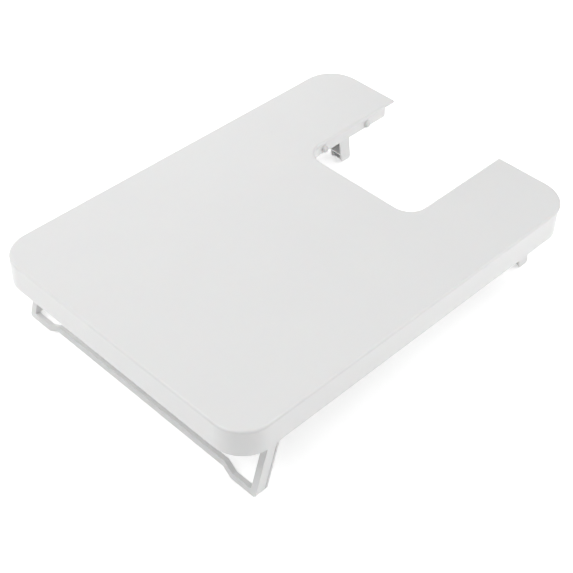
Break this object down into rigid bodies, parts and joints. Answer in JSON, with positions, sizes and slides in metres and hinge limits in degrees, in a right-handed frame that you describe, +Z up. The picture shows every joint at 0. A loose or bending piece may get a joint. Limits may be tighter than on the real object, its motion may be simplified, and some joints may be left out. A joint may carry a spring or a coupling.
{
  "type": "sewing machine extension table",
  "caption": "Low white U-shaped table that fits round a sewing machine's free arm, on a wide folding leg and small folding legs.",
  "frame": {"origin": "on the ground under the middle of the top", "axes": "+X along the length towards the notch end, +Y to the back, +Z up"},
  "size_m": [0.3868, 0.282, 0.08],
  "materials": {
    "top_plastic": "white ABS, satin, very fine moulded grain",
    "leg_plastic": "white ABS, satin",
    "pin_steel": "bright drawn steel",
    "spring_steel": "rolled spring steel",
    "screw_steel": "zinc-plated",
    "pad_rubber": "grey non-slip rubber",
    "bumper_rubber": "soft white rubber, slightly grey"
  },
  "bodies": {
    "table": {"table_top": "top_plastic", "wide_leg_pin_front": "pin_steel", "wide_leg_pin_back": "pin_steel", "small_leg_pin_front": "pin_steel", "small_leg_pin_back": "pin_steel", "wide_leg_keeper_front": "spring_steel", "wide_leg_keeper_back": "spring_steel", "small_leg_keeper_front": "spring_steel", "small_leg_keeper_back": "spring_steel", "wide_leg_catch_front": "spring_steel", "wide_leg_catch_back": "spring_steel", "small_leg_catch_front": "spring_steel", "small_leg_catch_back": "spring_steel", "hinge_screws": "screw_steel", "notch_bumper_inner_front": "bumper_rubber", "notch_bumper_inner_back": "bumper_rubber", "notch_bumper_outer_front": "bumper_rubber", "notch_bumper_outer_back": "bumper_rubber"},
    "wide_leg_assembly": {"wide_leg": "leg_plastic", "wide_leg_pad_front": "pad_rubber", "wide_leg_pad_back": "pad_rubber"},
    "front_leg_assembly": {"small_leg_front": "leg_plastic", "small_leg_pad_front": "pad_rubber"},
    "back_leg_assembly": {"small_leg_back": "leg_plastic", "small_leg_pad_back": "pad_rubber"}
  },
  "joints": [
    {"name": "wide_leg_fold", "type": "hinge", "parent": "table", "child": "wide_leg_assembly", "pos_m": [-0.14948, 0, 0.0625], "axis": [0, -1, 0], "range_deg": [0, 105.7]},
    {"name": "front_leg_fold", "type": "hinge", "parent": "table", "child": "front_leg_assembly", "pos_m": [0.1665, -0.1065, 0.062], "axis": [0, 1, 0], "range_deg": [0, 98]},
    {"name": "back_leg_fold", "type": "hinge", "parent": "table", "child": "back_leg_assembly", "pos_m": [0.1665, 0.1065, 0.062], "axis": [0, 1, 0], "range_deg": [0, 98]}
  ]
}
